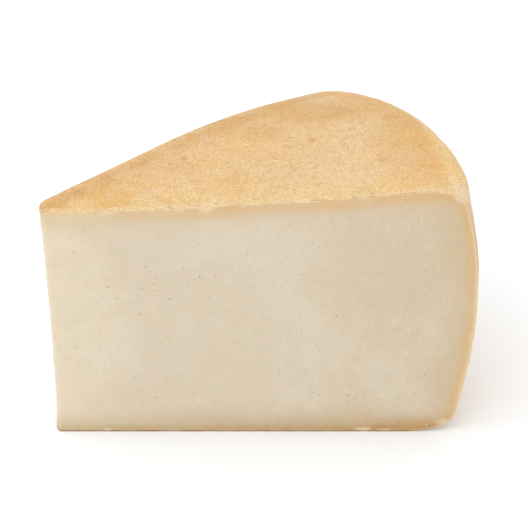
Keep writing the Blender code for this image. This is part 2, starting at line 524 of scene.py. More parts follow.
STAINS = tuple(Stain(*each) for each in (
    (-51.5, -46.0, 9.0, ORANGE, 0.75), (-42.0, -36.0, 8.0, ORANGE, 0.35),
    (-66.0, -52.0, 7.0, GOLD, 0.10), (-28.0, -24.0, 7.0, BROWN, 0.35),
    (-9.0, 3.0, 10.0, BROWN, 0.35), (15.0, 17.0, 16.0, BROWN, 0.55),
    (28.0, 10.0, 10.0, BROWN, 0.25), (38.0, 20.0, 18.0, BROWN, 0.45),
    (-19.6, -18.0, 9.0, GOLD, 0.60), (-3.0, -8.0, 14.0, GOLD, 0.75),
    (2.0, 0.0, 10.0, BROWN, 0.38), (3.0, -19.0, 11.0, BLOOM, 0.12),
    (2.0, -22.0, 9.0, GOLD, 0.30), (31.0, -6.0, 13.0, BLOOM, 0.35),
    (28.0, -34.0, 14.0, BLOOM, 0.30), (22.0, -3.0, 9.0, GOLD, 0.50),
    (-8.7, -37.0, 9.0, ORANGE, 0.35), (15.0, -42.0, 8.0, BUTTER, 0.45),
    (18.0, -18.0, 12.0, BROWN, 0.10), (49.0, -8.0, 15.0, BROWN, 0.33),
    (56.0, 4.0, 11.0, BROWN, 0.35), (60.0, -13.0, 10.0, ORANGE, 0.50),
    (53.0, -28.0, 13.0, BROWN, 0.28), (63.0, -32.0, 9.0, ORANGE, 0.50),
    (47.0, -44.0, 9.0, ORANGE, 0.18), (57.0, -43.0, 8.0, ORANGE, 0.45),
    (-16.2, -48.6, 1.6, CHALK, 0.60, 0.2), (-26.0, -51.6, 1.7, ORANGE, 0.70, 0.1),
    (-27.7, -18.2, 1.5, RUST, 0.38, 0.1), (10.2, -6.3, 1.4, RUST, 0.35, 0.1),
    (18.0, -9.6, 1.7, RUST, 0.38, 0.1), (41.9, -27.9, 1.3, RUST, 0.35, 0.1),
    (55.7, -9.3, 1.2, RUST, 0.38, 0.1), (-51.5, -41.2, 2.2, CHALK, 0.45, 0.1),
    (-51.3, -40.4, 1.5, ORANGE, 0.60, 0.1), (-31.2, -51.4, 0.8, PIT_SHADE, 0.75, 0.1),
    (-15.3, -50.9, 0.8, RUST, 0.75, 0.1),
))


class Chip(NamedTuple):
    """A place on the front cut's edge where a bit has broken away, in millimetres."""

    x: float
    height: float
    radius: float
    depth: float
    chalk: float
    stretch: float = 1.0

    def away(self, point: Value) -> Value:
        """How far a point is from the chip's middle, in metres as its height has them."""
        squeezed = (1 / self.stretch, 1.0, 1.0)
        middle = (self.x * MM / self.stretch, FRONT_Y, self.height * MM)
        return (point * squeezed).distance(middle)

    def share(self, point: Value, wander: Value, reach: float = 1.0) -> Value:
        """How much of the chip's pale inside shows at a point.

        Args:
            point: The point.
            wander: How far the chip's outline strays there.
            reach: How far the pale colour reaches, as a share of the radius.

        Returns:
            The share of the pale colour.
        """
        away = self.away(point) + wander
        return away.ramp(self.radius * reach * MM, self.radius * 0.4 * MM) * self.chalk


LIP_CHIPS = (
    Chip(-51.5, 91.8, 3.0, 0.4, 0.3),
    Chip(-28.0, 92.6, 2.4, 0.0, 0.6),
    Chip(-19.6, 93.2, 4.0, 1.5, 0.8),
    Chip(-2.0, 94.8, 3.5, 0.4, 0.3),
    Chip(13.4, 96.0, 3.4, 0.7, 0.5),
    Chip(34.2, 97.6, 3.0, 0.8, 0.4),
    Chip(67.3, 96.4, 3.0, 0.7, 0.5),
)

FOOT_CHIPS = (
    Chip(65.4, 4.4, 2.2, 0.0, 0.55, 1.5),
    Chip(36.0, 1.2, 0.9, 0.0, 0.70, 4.5),
    Chip(44.0, 0.9, 0.7, 0.0, 0.45, 5.0),
    Chip(-56.0, 1.0, 0.8, 0.0, 0.60, 2.6),
)


@dataclass(frozen=True)
class RindFinish:
    """Dry tan rind with a fine leathery grain, paler where it is cut."""

    gold: Colour = paint(239, 201, 146, TOP_LIGHT)
    pale: Colour = paint(239, 205, 160, TOP_LIGHT)
    speck: Colour = paint(196, 128, 76, TOP_LIGHT)
    freckle: Colour = paint(226, 172, 104, TOP_LIGHT)
    lip: Colour = paint(243, 213, 168, TOP_LIGHT)
    # Painted shade in the cracks along the lip
    crack: Colour = paint(160, 116, 66, TOP_LIGHT)
    # Painted highlight on the rind's shoulder, which curves down into the light by the rim
    shoulder: Colour = paint(247, 211, 154, TOP_LIGHT)
    patch_size: float = 0.030
    mottle_size: float = 0.0065
    fleck_size: float = 0.0030
    freckle_size: float = 0.0060
    speck_size: float = 0.0026
    smear_size: float = 0.024
    lip_far: float = 0.0048
    lip_near: float = 0.0012
    lip_raggedness: float = 0.0070
    crack_place: float = 0.0010
    crack_width: float = 0.00024
    crack_core: float = 0.00005
    crack_length: float = 0.0075
    stroke_size: float = 0.0026
    stroke_contrast: float = 0.045
    grain_size: float = 0.0008
    grain_contrast: float = 0.80
    shade_tint: tuple[float, float, float] = (0.63, 1.0, 1.42)
    grain_depth: float = 0.00006
    roughness: float = 0.62
    glow: float = 0.10

    def material(self) -> bpy.types.Material:
        """Builds the material.

        Returns:
            The rind's material.
        """
        graph = MaterialGraph("rind")
        point = graph.point
        skin = point * (1.0, 0.80, 1.0)
        mottle = graph.noise(point + 0.2, self.mottle_size, 3.0, roughness=0.55)
        flecks = graph.noise(skin + 0.7, self.fleck_size, 1.0)
        strokes = graph.noise(skin + 0.1, self.stroke_size, 1.0, roughness=0.5, distortion=1.3)
        grain = graph.noise(skin, self.grain_size, 1.0, roughness=0.7, distortion=0.6)
        # The strokes' pale crests are painted highlights and their creases painted shade, standing
        # in for the fine relief under soft light
        crest_highlight = (strokes - 0.57).size().ramp(0.10, 0.0)
        crease_shade = (strokes - 0.43).size().ramp(0.08, 0.0)

        to_cut = graph.attribute("to_cut")
        ragged = graph.noise(point, 0.0030, 3.0, roughness=0.65)
        patchy = graph.noise(point + 0.4, 0.009, 3.0, roughness=0.6)
        near_front = graph.attribute("from_front").ramp(8 * MM, 5 * MM) * 0.50 + 0.50
        from_edge = to_cut + (ragged - 0.5) * self.lip_raggedness
        pale = from_edge.ramp(self.lip_far, self.lip_near) * near_front
        colour = self.broad_colour(graph, mottle, flecks)
        colour = graph.mix(colour, self.lip, pale * patchy.ramp(0.25, 0.55) * 0.80)
        for chip in LIP_CHIPS:
            share = chip.share(point, (ragged - 0.5) * (5 * MM), reach=1.2)
            colour = graph.mix(colour, CHALK, share)
        specks = graph.noise(point + 0.9, self.speck_size, 0.0).ramp(0.82, 0.87)
        colour = graph.mix(colour, self.speck, specks * 0.50)
        # The grain's light and dark is partly the rind's own tone and partly painted light and
        # shade of its fine relief
        light = (grain - 0.5) * self.grain_contrast + (crest_highlight - crease_shade * 1.1) * self.stroke_contrast
        colour = graph.shade(colour, light, self.shade_tint)
        # A thin dark line in the cracks along the lip: painted shade of the cracks, which the bump
        # also sinks
        from_crack = (to_cut / (0.45 + ragged * 1.1) - self.crack_place).size()
        line = from_crack.ramp(self.crack_width, self.crack_core)
        cracked = graph.noise(point + 0.5, self.crack_length).ramp(0.55, 0.61)
        colour = graph.mix(colour, self.crack, line * cracked * 0.75)

        height = grain * 0.5 + mottle * 1.0 + crest_highlight * 0.25 - crease_shade * 0.25
        height = height - line * cracked * 0.8
        normal = graph.bump(height, self.grain_depth)
        roughness = self.roughness + (mottle - 0.5) * 0.2
        return graph.finish(colour, roughness, normal=normal, glow=self.glow, spread=RIND_SPREAD)

    def broad_colour(self, graph: MaterialGraph, mottle: Value, flecks: Value) -> Value:
        """The rind's colour without its grain: butter along the front cut, brown along the back,
        painted highlight on the shoulder.

        Args:
            graph: The material's nodes.
            mottle: Random values, whose patches are a few millimetres wide.
            flecks: Finer random values.

        Returns:
            The colour.
        """
        point = graph.point
        broad = graph.noise(point, self.patch_size, 3.0, roughness=0.55)
        wander = (broad - 0.5) * (26 * MM)
        jitter = (mottle - 0.5) * (9 * MM)
        tint = broad * 0.5 + mottle * 0.3 + flecks * 0.45
        from_front = graph.attribute("from_front")
        butter = (from_front + wander).ramp(20 * MM, 3 * MM) * (0.25 + mottle * 0.7)
        angle = WedgeSizes().wedge_angle
        across = (point.part("X") - TIP_X) * math.sin(angle)
        from_back = across - (point.part("Y") - TIP_Y) * math.cos(angle) + wander * 0.4
        brown = (from_back + jitter).ramp(17 * MM, 3 * MM) * (1.05 - mottle * 0.8)
        pale = (self.pale, tint.ramp(0.50, 0.78))
        colour = graph.layers(self.gold, pale, (BUTTER, butter), (BROWN, brown))
        flat = point * (1.0, 1.0, 0.0)
        above = point.part("Z").ramp(78 * MM, 90 * MM)
        astray = wander * 0.4 + jitter
        for stain in STAINS:
            share = stain.share(flat, astray) * above * stain.strength
            colour = graph.mix(colour, stain.colour, share)
        smears = graph.noise(point * (1.0, 1.0, 1.6) + 0.6, self.smear_size, 3.0, roughness=0.6)
        # The pale band by the rim is painted highlight where the shoulder curves down into the
        # light, turning chalky near the front cut where the edge is worn
        to_rim = WedgeSizes().wheel_radius - flat.distance((TIP_X, FRONT_Y, 0.0))
        narrowing = (from_front - 25 * MM).highest(0.0) * 0.12
        rim = (to_rim + narrowing + jitter * 0.5).ramp(14 * MM, 8 * MM)
        worn = graph.mix(self.shoulder, CHALK, from_front.ramp(14 * MM, 4 * MM) * 0.75)
        freckles = graph.noise(point + 0.3, self.freckle_size, roughness=0.6)
        return graph.layers(
            colour,
            (BLOOM, smears.ramp(0.52, 0.68) * (1 - above) * 0.55),
            (BROWN, smears.ramp(0.46, 0.30) * (1 - above) * 0.55),
            (ORANGE, (to_rim + jitter).ramp(21 * MM, 12 * MM) * 0.30),
            (worn, rim * above * 0.90),
            (BROWN, mottle.ramp(0.48, 0.22) * 0.40),
            (self.freckle, freckles.ramp(0.63, 0.76) * 0.45),
        )


SEAMS = (
    ((67.9, 61.8), (77.5, 66.0)),
    ((77.5, 66.0), (84.4, 69.8)),
    ((84.4, 69.8), (88.2, 66.0)),
    ((94.7, 16.3), (105.2, 16.0)),
    ((26.3, 23.0), (35.0, 24.3)),
    ((45.2, 12.9), (51.6, 11.8)),
    ((88.7, 17.4), (94.0, 16.6)),
)


@dataclass(frozen=True)
class PasteFinish:
    """Ivory paste that turns amber under the rind, paler towards the wheel's middle and beige by
    the side, partly as painted light falling from the left.
    """

    # Pale by the tip and beige by the side are partly painted light falling from the left
    pale: Colour = paint(233, 219, 193, FRONT_LIGHT)
    ivory: Colour = paint(223, 209, 186, FRONT_LIGHT)
    beige: Colour = paint(217, 200, 173, FRONT_LIGHT)
    curd: Colour = paint(228, 219, 201, FRONT_LIGHT)
    lump: Colour = paint(238, 230, 214, FRONT_LIGHT)
    soft: Colour = paint(214, 192, 157, FRONT_LIGHT)
    warm: Colour = paint(226, 201, 164, FRONT_LIGHT)
    amber: Colour = paint(222, 187, 136, FRONT_LIGHT)
    skin: Colour = paint(238, 213, 176, FRONT_LIGHT)
    crust: Colour = paint(226, 198, 152, FRONT_LIGHT)
    chalk: Colour = paint(238, 220, 192, FRONT_LIGHT)
    # foot, toe and edge darken the paste above the base: partly the rind's own foot, partly painted
    # contact shade
    foot: Colour = paint(196, 164, 118, FRONT_LIGHT)
    toe: Colour = paint(196, 152, 100, FRONT_LIGHT)
    edge: Colour = paint(152, 114, 72, FRONT_LIGHT)
    roughness: float = 0.50
    patch_size: float = 0.040
    curd_size: float = 0.0070
    lump_size: float = 0.0050
    clot_size: float = 0.0024
    grain_size: float = 0.0008
    curd_depth: float = 0.00012
    glow: float = 0.25

    def material(self) -> bpy.types.Material:
        """Builds the material.

        Returns:
            The paste's material.
        """
        graph = MaterialGraph("paste")
        point = graph.point
        broad = graph.noise(point, self.patch_size, 3.0)
        curds = graph.noise(point, self.curd_size, 4.0, roughness=0.6, distortion=0.6)
        clots = graph.noise(point + 0.2, self.clot_size)
        fine = graph.noise(point + 0.4, self.grain_size, 1.0)

        inward = graph.attribute("to_side") + (broad - 0.5) * (60 * MM)
        lumps = graph.noise(point + 0.5, self.lump_size, roughness=0.6, distortion=0.8)
        # Beige by the side, ivory further in and pale by the tip: partly the paste's own tone,
        # partly painted light falling from the left
        colour = graph.layers(
            self.beige,
            (self.ivory, inward.ramp(15 * MM, 80 * MM)),
            (self.pale, inward.ramp(115 * MM, 150 * MM)),
            (self.curd, broad.ramp(0.50, 0.66) * 0.35),
            (self.curd, clots.ramp(0.58, 0.74) * 0.10),
            (self.lump, lumps.ramp(0.64, 0.74) * curds.ramp(0.40, 0.60) * 0.40),
            (self.beige, curds.ramp(0.56, 0.36) * 0.20),
        )
        colour = self.add_bands(graph, colour)
        crumbly = graph.attribute("to_side").ramp(75 * MM, 35 * MM) * 0.7 + 1.0
        uneven = (curds - 0.5) * 0.03 + ((clots - 0.5) * 0.05 + (fine - 0.5) * 0.10) * crumbly
        colour = graph.shade(colour, uneven)
        seam = self.seams(graph, curds)
        colour = graph.mix(colour, self.lump, seam * 0.40)
        height = curds * 1.0 + clots * 0.5 + fine * 0.3 + seam * 0.8
        normal = graph.bump(height, self.curd_depth)
        roughness = self.roughness + (curds - 0.5) * 0.15
        return graph.finish(colour, roughness, normal=normal, glow=self.glow)

    def seams(self, graph: MaterialGraph, curds: Value) -> Value:
        """The fine ridges along seams between curds that show in the front cut.

        Args:
            graph: The material's nodes.
            curds: Random values, which make the seams wander.

        Returns:
            How high the ridges are at each point, from 0 to 1.
        """
        bent = graph.point + (curds.output("Color") - 0.5) * (7 * MM)
        broken = graph.noise(graph.point, 0.0022, 1.0).ramp(0.30, 0.56)
        on_front = graph.attribute("from_front").ramp(0.8 * MM, 0.2 * MM) * broken
        ridges = []
        for start, end in SEAMS:
            first = Vector((TIP_X + start[0] * MM, FRONT_Y, start[1] * MM))
            way = Vector((TIP_X + end[0] * MM, FRONT_Y, end[1] * MM)) - first
            from_first = bent - tuple(first)
            share = from_first.dot(tuple(way / way.length_squared)).clamped()
            off = from_first.distance(graph.stretched(tuple(way), share))
            ridges.append(off.ramp(0.50 * MM, 0.10 * MM) * on_front)
        return functools.reduce(Value.highest, ridges)

    def add_bands(self, graph: MaterialGraph, colour: Value) -> Value:
        """Darkens the paste under the top, beside the side and above the base, where part of it is
        painted contact shade.

        Args:
            graph: The material's nodes.
            colour: The paste's colour.

        Returns:
            The colour with its bands.
        """
        point = graph.point
        slow = (graph.noise(point + 0.8, 0.016, 3.0) - 0.5) * (4 * MM)
        quick = (graph.noise(point + 0.3, 0.004, 2.0) - 0.5) * (1.2 * MM)
        top = graph.attribute("under_top")
        side = graph.attribute("to_side")
        base = graph.attribute("above_base")
        uneven = graph.noise(point + 0.6, 0.018, 3.0).ramp(0.25, 0.75) * 0.6 + 0.55
        outward = side.ramp(150 * MM, 60 * MM) * 0.75 + 0.25
        upper = point.part("Z").ramp(64 * MM, 74 * MM)
        blotchy = graph.noise(point + 0.1, 0.0045, 2.0).ramp(0.35, 0.65)
        # Above the base, the soft, foot, toe and edge bands are partly the rind's foot and partly
        # painted contact shade, darkest by the side
        bands = (
            (self.warm, (top + slow).ramp(12 * MM, 1 * MM), 0.50),
            (self.soft, (side + slow).ramp(17 * MM, 3 * MM), 0.85),
            (self.soft, (base + slow).ramp(9 * MM, 2 * MM), 0.55),
            (self.amber, (top + quick).ramp(6.5 * MM, 1.0 * MM), 0.90 * outward * uneven),
            (self.amber, (side + slow * 0.5 + quick).ramp(6.0 * MM, 2.0 * MM), 0.75 * uneven),
            (self.foot, (base + slow).ramp(13 * MM, 3 * MM), 0.28 * outward),
            (self.foot, (base + quick).ramp(4.4 * MM, 0.9 * MM), (outward * 0.7 + 0.2) * uneven),
            (self.toe, (base + quick).ramp(8.5 * MM, 1.5 * MM), side.ramp(40 * MM, 14 * MM) * 0.6),
            (self.crust, (base + quick * 0.7).ramp(1.5 * MM, 0.8 * MM), 0.55 * blotchy),
            (self.skin, (side + quick * 0.7).ramp(1.9 * MM, 0.6 * MM), 0.60),
            (self.edge, side.ramp(0.5 * MM, 0.1 * MM), upper * 0.55),
            (self.edge, (base + quick * 0.6).ramp(0.8 * MM, 0.2 * MM), blotchy * 0.4 + 0.6),
        )
        for band, share, strength in bands:
            colour = graph.mix(colour, band, (share * strength).lowest(1.0))
        for chip in (*LIP_CHIPS, *FOOT_CHIPS):
            colour = graph.mix(colour, self.chalk, chip.share(point, quick * chip.radius))
        return colour


@dataclass(frozen=True)
class GrainFinish:
    """Small spots of one colour, such as the eyes' walls and the crystals in the paste."""

    name: str
    colour: Colour
    roughness: float
    glow: float
    mottle_size: float = 0.0006
    depth: float = 0.00004

    def material(self) -> bpy.types.Material:
        """Builds the material.

        Returns:
            The spots' material.
        """
        graph = MaterialGraph(self.name)
        mottle = graph.noise(graph.point, self.mottle_size)
        colour = graph.shade(self.colour, (mottle - 0.5) * 0.16)
        normal = graph.bump(mottle, self.depth)
        return graph.finish(colour, self.roughness + mottle * 0.1, normal=normal, glow=self.glow)


@dataclass(frozen=True)
class ReliefSizes:
    """How rough the surfaces are, in metres."""

    rind_relief: float = 0.00035
    rind_bump_size: float = 0.018
    wrinkle_relief: float = 0.00010
    wrinkle_size: float = 0.0035
    cut_relief: float = 0.00012
    cut_bump_size: float = 0.014
    curd_relief: float = 0.00004
    curd_size: float = 0.0030
    chip_depth: float = 0.0004
    chip_reach: float = 0.0012
    chip_size: float = 0.0045
    base_reach: float = 0.0040
    wave_depth: float = 0.0005
    wave_reach: float = 0.0070
    wave_size: float = 0.0110


class WedgeShape:
    """The rule that the wedge's shape follows, written on the fields of a geometry tree."""

    SHOULDER_END = 0.105
    FOOT_START = 0.800
    QUARTER_TURN = math.pi / 2

    def __init__(self, tree: GeometryTree, sizes: SimpleNamespace) -> None:
        """Keeps the tree and its size inputs, and works out what is the same everywhere."""
        self.tree = tree
        self.sizes = sizes
        share = sizes.tip_width * sizes.wedge_angle.cosine() / sizes.wheel_radius
        self.back_angle = sizes.wedge_angle + share.arcsine()
        self.top_end = sizes.wheel_radius - sizes.top_draw_in - sizes.shoulder_reach

    def top_height(self, radius: Value, sweep: Value) -> Value:
        """Height of the top.

        Args:
            radius: Distance from the tip.
            sweep: How far the point is swept, from 0 at the front cut to 1 at the back cut.

        Returns:
            The height above the base.
        """
        sizes = self.sizes
        out = radius / sizes.wheel_radius
        rise = sizes.rim_rise * out**sizes.rim_rise_power
        lift = sizes.rim_lift * out**3 * 4 * sweep * (1 - sweep)
        swell = sizes.swell * out**sizes.swell_power * (1 - out) * sweep
        sunk = (out - sizes.sag_start).highest(0.0) ** sizes.sag_power
        sag = sizes.sag * sunk * sweep**sizes.sag_sweep_power
        return sizes.middle_height + rise + lift + swell - sag

    def side_radius(self, height: Value) -> Value:
        """The side's distance from the wheel's axis at a height."""
        sizes = self.sizes
        reach = sizes.middle_height + sizes.rim_rise - sizes.belly_height
        above = ((height - sizes.belly_height) / reach).clamped() ** sizes.top_draw_power
        below = ((sizes.belly_height - height) / sizes.belly_height).clamped()
        drawn = sizes.top_draw_in * above + sizes.foot_draw_in * below**sizes.foot_draw_power
        return sizes.wheel_radius - drawn

    def rim_point(self, down: Value, sweep: Value) -> tuple[Value, Value]:
        """A point of the section's outer line: shoulder, side and foot, one after the other.

        Args:
            down: How far down the line, from 0 at the top's edge to 1 at the base's edge.
            sweep: How far the section is swept.

        Returns:
            The point's distance from the tip, and its height.
        """
        sizes = self.sizes
        shoulder = self.top_height(self.top_end, sweep) - sizes.shoulder_drop
        turn = (down / self.SHOULDER_END).clamped() * self.QUARTER_TURN
        side = ((down - self.SHOULDER_END) / (self.FOOT_START - self.SHOULDER_END)).clamped()
        fold = ((down - self.FOOT_START) / (1 - self.FOOT_START)).clamped() * self.QUARTER_TURN
        level = shoulder + (sizes.foot_rise - shoulder) * side
        height = level + sizes.shoulder_drop * turn.cosine() - sizes.foot_rise * fold.sine()
        rounded = (self.side_radius(shoulder) - self.top_end) * (1 - turn.sine())
        worn = (1 - sweep / sizes.corner_reach).clamped() * (1 - down / sizes.corner_drop).clamped()
        rounded = rounded + worn * sizes.corner_wear
        radius = self.side_radius(level) - rounded - sizes.foot_reach * (1 - fold.cosine())
        return radius, height

    def section_point(self, out: Value, down: Value, sweep: Value) -> tuple[Value, Value]:
        """A point of a whole section, whose rows follow the rim's shape.

        Args:
            out: How far out along its row, from 0 at the tip to 1 at the rim.
            down: How far down its column, from 0 at the top to 1 at the base.
            sweep: How far the section is swept.

        Returns:
            The point's distance from the tip, and its height.
        """
        rim_radius, rim_height = self.rim_point(down, sweep)
        middle = self.sizes.middle_height
        straight = middle + (self.top_height(self.top_end, sweep) - middle) * out
        arched = self.top_height(self.top_end * out, sweep) - straight
        level = middle * (1 - down)
        return rim_radius * out, level + (rim_height - level) * out + arched * (1 - down)

    def from_cut(self, out: Value, sweep: Value) -> Value:
        """How far a point is from the cut where sweep is 0.

        Args:
            out: Its distance from the tip, as a share of the wheel's radius.
            sweep: How far it is swept from that cut.

        Returns:
            The distance, in metres.
        """
        sizes = self.sizes
        tip = sizes.tip_width * (1 - (sweep * math.pi).cosine()) * 0.5
        full = (sweep**sizes.rim_fullness_power * math.pi).sine() * sizes.rim_fullness
        rim = (self.back_angle * sweep).sine() * (sizes.wheel_radius + full)
        return tip + (rim - tip) * out

    def place(self, radius: Value, height: Value, sweep: Value) -> Value:
        """The point's place, on a straight line in plan from the blunt tip to the rim.

        Args:
            radius: Distance from the tip.
            height: Height above the base.
            sweep: How far the point is swept.

        Returns:
            The place, with the wheel's middle at X = Y = 0.
        """
        sizes = self.sizes
        share = (height / sizes.middle_height).highest(0.0)
        lean = sizes.tip_lean * share**sizes.tip_lean_power
        hollow = sizes.tip_hollow * (share**sizes.tip_hollow_power * math.pi).sine()
        tip = sizes.tip_bulge * (1 - (sweep * math.pi).sine()) - lean + hollow
        full = (sweep**sizes.rim_fullness_power * math.pi).sine() * sizes.rim_fullness
        rim = (self.back_angle * sweep).cosine() * (sizes.wheel_radius + full)
        out = radius / sizes.wheel_radius
        return self.tree.vector(tip + (rim - tip) * out, self.from_cut(out, sweep), height)


@dataclass
class WedgeBody:
    """The wedge itself: its rind, its two cuts and its tip, as one closed mesh."""

    sizes: WedgeSizes
    relief: ReliefSizes
    columns: int = 184
    rows: int = 115
    sweeps: int = 120
    tip_stride: int = 8
    sweep_crowding: float = 0.6
    column_crowding: float = 1.25
    row_crowding: float = 1.3

    def faces(self) -> tuple[list[list[tuple[int, int, int]]], list[list[tuple[int, int, int]]]]:
        """The body's faces, whose vertices are named by sweep, row and column.

        Returns:
            The faces of the paste, and those of the rind.
        """
        columns, rows, sweeps, stride = self.columns, self.rows, self.sweeps, self.tip_stride
        paste, rind = [], []
        for row in range(rows):
            for k in range(columns):
                front = [(0, row, k), (0, row + 1, k), (0, row + 1, k + 1), (0, row, k + 1)]
                back = [(sweeps, r, c) for _, r, c in reversed(front)]
                paste += [front, back]
        for s in range(sweeps):
            after = s + 1
            for k in range(columns):
                rind.append([(s, 0, k), (s, 0, k + 1), (after, 0, k + 1), (after, 0, k)])
            for row in range(rows):
                face = [(s, row), (s, row + 1), (after, row + 1), (after, row)]
                rind.append([(*each, columns) for each in face])
        for s in range(0, sweeps, stride):
            after = s + stride
            upper = [(between, 0, 0) for between in range(s, after + 1)]
            for row in range(rows):
                paste.append([*upper, (after, row + 1, 0), (s, row + 1, 0)])
                upper = [(s, row + 1, 0), (after, row + 1, 0)]
        ring = [(0, rows, k) for k in range(columns)]
        ring += [(s, rows, columns) for s in range(sweeps)]
        ring += [(sweeps, rows, k) for k in range(columns, 0, -1)]
        ring += [(s, rows, 0) for s in range(sweeps, 0, -stride)]
        rind.append(ring[::-1])
        return paste, rind

    def blank(self) -> bpy.types.Mesh:
        """The closed mesh before it has its shape: each vertex only says which point it is.

        Returns:
            The mesh, with the attributes out, down and sweep, and rind on its faces.
        """
        paste, rind = self.faces()
        numbers: dict[tuple[int, int, int], int] = {}
        polygons = [[numbers.setdefault(each, len(numbers)) for each in face]
                    for face in paste + rind]
        mesh = bpy.data.meshes.new("blank_wedge")
        mesh.from_pydata([(0.0, 0.0, 0.0)] * len(numbers), [], polygons)
        shares: dict[str, list[float]] = {"out": [], "down": [], "sweep": []}
        for s, row, column in numbers:
            even = s / self.sweeps
            eased = (1 - math.cos(math.pi * even)) / 2
            shares["sweep"].append(even + (eased - even) * self.sweep_crowding)
            shares["down"].append((row / self.rows) ** self.row_crowding)
            shares["out"].append(1 - (1 - column / self.columns) ** self.column_crowding)
        for name, values in shares.items():
            mesh.attributes.new(name, "FLOAT", "POINT").data.foreach_set("value", values)
        on_rind = [False] * len(paste) + [True] * len(rind)
        mesh.attributes.new("rind", "BOOLEAN", "FACE").data.foreach_set("value", on_rind)
        return mesh

    def middle(self) -> Vector:
        """Where the wheel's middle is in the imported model's frame."""
        low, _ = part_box(NODE)
        return Vector((low.x + self.sizes.tip_lean, low.y, 0.0))

    def build(self, rind: bpy.types.Material, paste: bpy.types.Material) -> bpy.types.Object:
        """Builds the body.

        Args:
            rind: The rind's material.
            paste: The paste's material.

        Returns:
            The body, without its eyes.
        """
        body = bpy.data.objects.new("cheese", self.blank())
        bpy.context.collection.objects.link(body)
        tree = GeometryTree("Wedge of cheese")
        shape = WedgeShape(tree, tree.sizes(self.sizes))
        rough = tree.sizes(self.relief)
        middle = tree.input("Wheel middle", "Vector", tuple(self.middle()))
        rind_input = tree.input("Rind", "Material", rind)
        paste_input = tree.input("Paste", "Material", paste)

        out, down, sweep = (tree.attribute(name) for name in ("out", "down", "sweep"))
        radius, height = shape.section_point(out, down, sweep)
        distances = {
            "under_top": (shape.top_height(radius, sweep) - height).highest(0.0),
            "to_side": (1 - out) * shape.sizes.wheel_radius,
            "above_base": height,
            "from_front": shape.from_cut(out, sweep),
            "to_cut": shape.from_cut(out, sweep).lowest(shape.from_cut(out, 1 - sweep)),
        }
        place = shape.place(radius, height, sweep) + middle
        shaped = tree.add("GeometryNodeSetPosition", {"Geometry": tree.geometry, "Position": place})
        for name, value in distances.items():
            shaped = tree.store(shaped, name, value)
        offset = self.roughness(tree, rough, distances)
        moved = tree.add("GeometryNodeSetPosition", {"Geometry": shaped, "Offset": offset})
        solid = tree.add("GeometryNodeRealizeInstances", {"Geometry": moved})
        solid = tree.dressed(solid, paste_input)
        solid = tree.dressed(solid, rind_input, tree.attribute("rind", "BOOLEAN"))
        tree.run(body, solid)
        return body

    @staticmethod
    def roughness(tree: GeometryTree, rough: SimpleNamespace, distances: dict[str, Value]) -> Value:
        """How far the surface stands off its smooth shape: bumps, and chips along the cut rind.

        Args:
            tree: The tree.
            rough: The relief's size inputs.
            distances: How far each point is from the top, the side, the base and the cuts.

        Returns:
            The offset, as a vector.
        """
        point = tree.add("GeometryNodeInputPosition")
        normal = tree.add("GeometryNodeInputNormal")
        to_cut = distances["to_cut"]
        wave = tree.noise(point, rough.rind_bump_size, 2.0) - 0.5
        wrinkle = tree.noise(point, rough.wrinkle_size, 2.0) - 0.5
        swelling = tree.noise(point + 0.2, rough.cut_bump_size, 2.0) - 0.5
        curd = tree.noise(point + 0.2, rough.curd_size, 2.0) - 0.5
        rind_height = (wave * rough.rind_relief + wrinkle * rough.wrinkle_relief) * 3
        cut_height = (swelling * rough.cut_relief + curd * rough.curd_relief) * 3
        height = cut_height + (rind_height - cut_height) * to_cut.ramp(0.0, rough.wave_reach)
        from_edge = to_cut.highest(distances["under_top"].lowest(distances["to_side"]))
        ragged = (tree.noise(point + 0.4, rough.chip_size, 3.0) - 0.42).highest(0.0) * 5
        on_front = distances["from_front"].ramp(rough.wave_reach, 0.0)
        chip = ragged * rough.chip_depth * from_edge.ramp(rough.chip_reach, 0.0) * on_front
        above_base = distances["above_base"].ramp(0.0, rough.base_reach)
        dip = (tree.noise(point + 0.9, rough.wave_size, 1.0) - 0.5) * rough.wave_depth * 2
        near = distances["under_top"].ramp(rough.wave_reach, 0.0) * on_front
        offset = normal * ((height - chip) * above_base) + tree.vector(0.0, 0.0, dip * near)
        for chip in LIP_CHIPS:
            away = chip.away(point) + ragged * (0.5 * MM)
            worn = away.ramp(chip.radius * MM, 0.0) * (chip.depth * MM)
            offset = offset + tree.vector(0.0, worn * 0.25, worn * -1.0)
        return offset


class Cut(Enum):
    """The wedge's two cuts: how far each is swept, from the front one."""

    FRONT = 0.0
    BACK = 1.0


class Mark(NamedTuple):
    """An eye or slit in a cut, in millimetres and degrees."""

    along: float
    height: float
    half_length: float
    half_height: float
    tilt: float


@dataclass(frozen=True)
class PinholeSizes:
    """How many pinholes a square metre has, and their sizes in metres and as a share."""

    spacing: float = 0.0065
    density: float = 5200.0
    smallest: float = 0.00014
    largest: float = 0.00028
    depth_share: float = 0.45
    unevenness: float = 0.00028


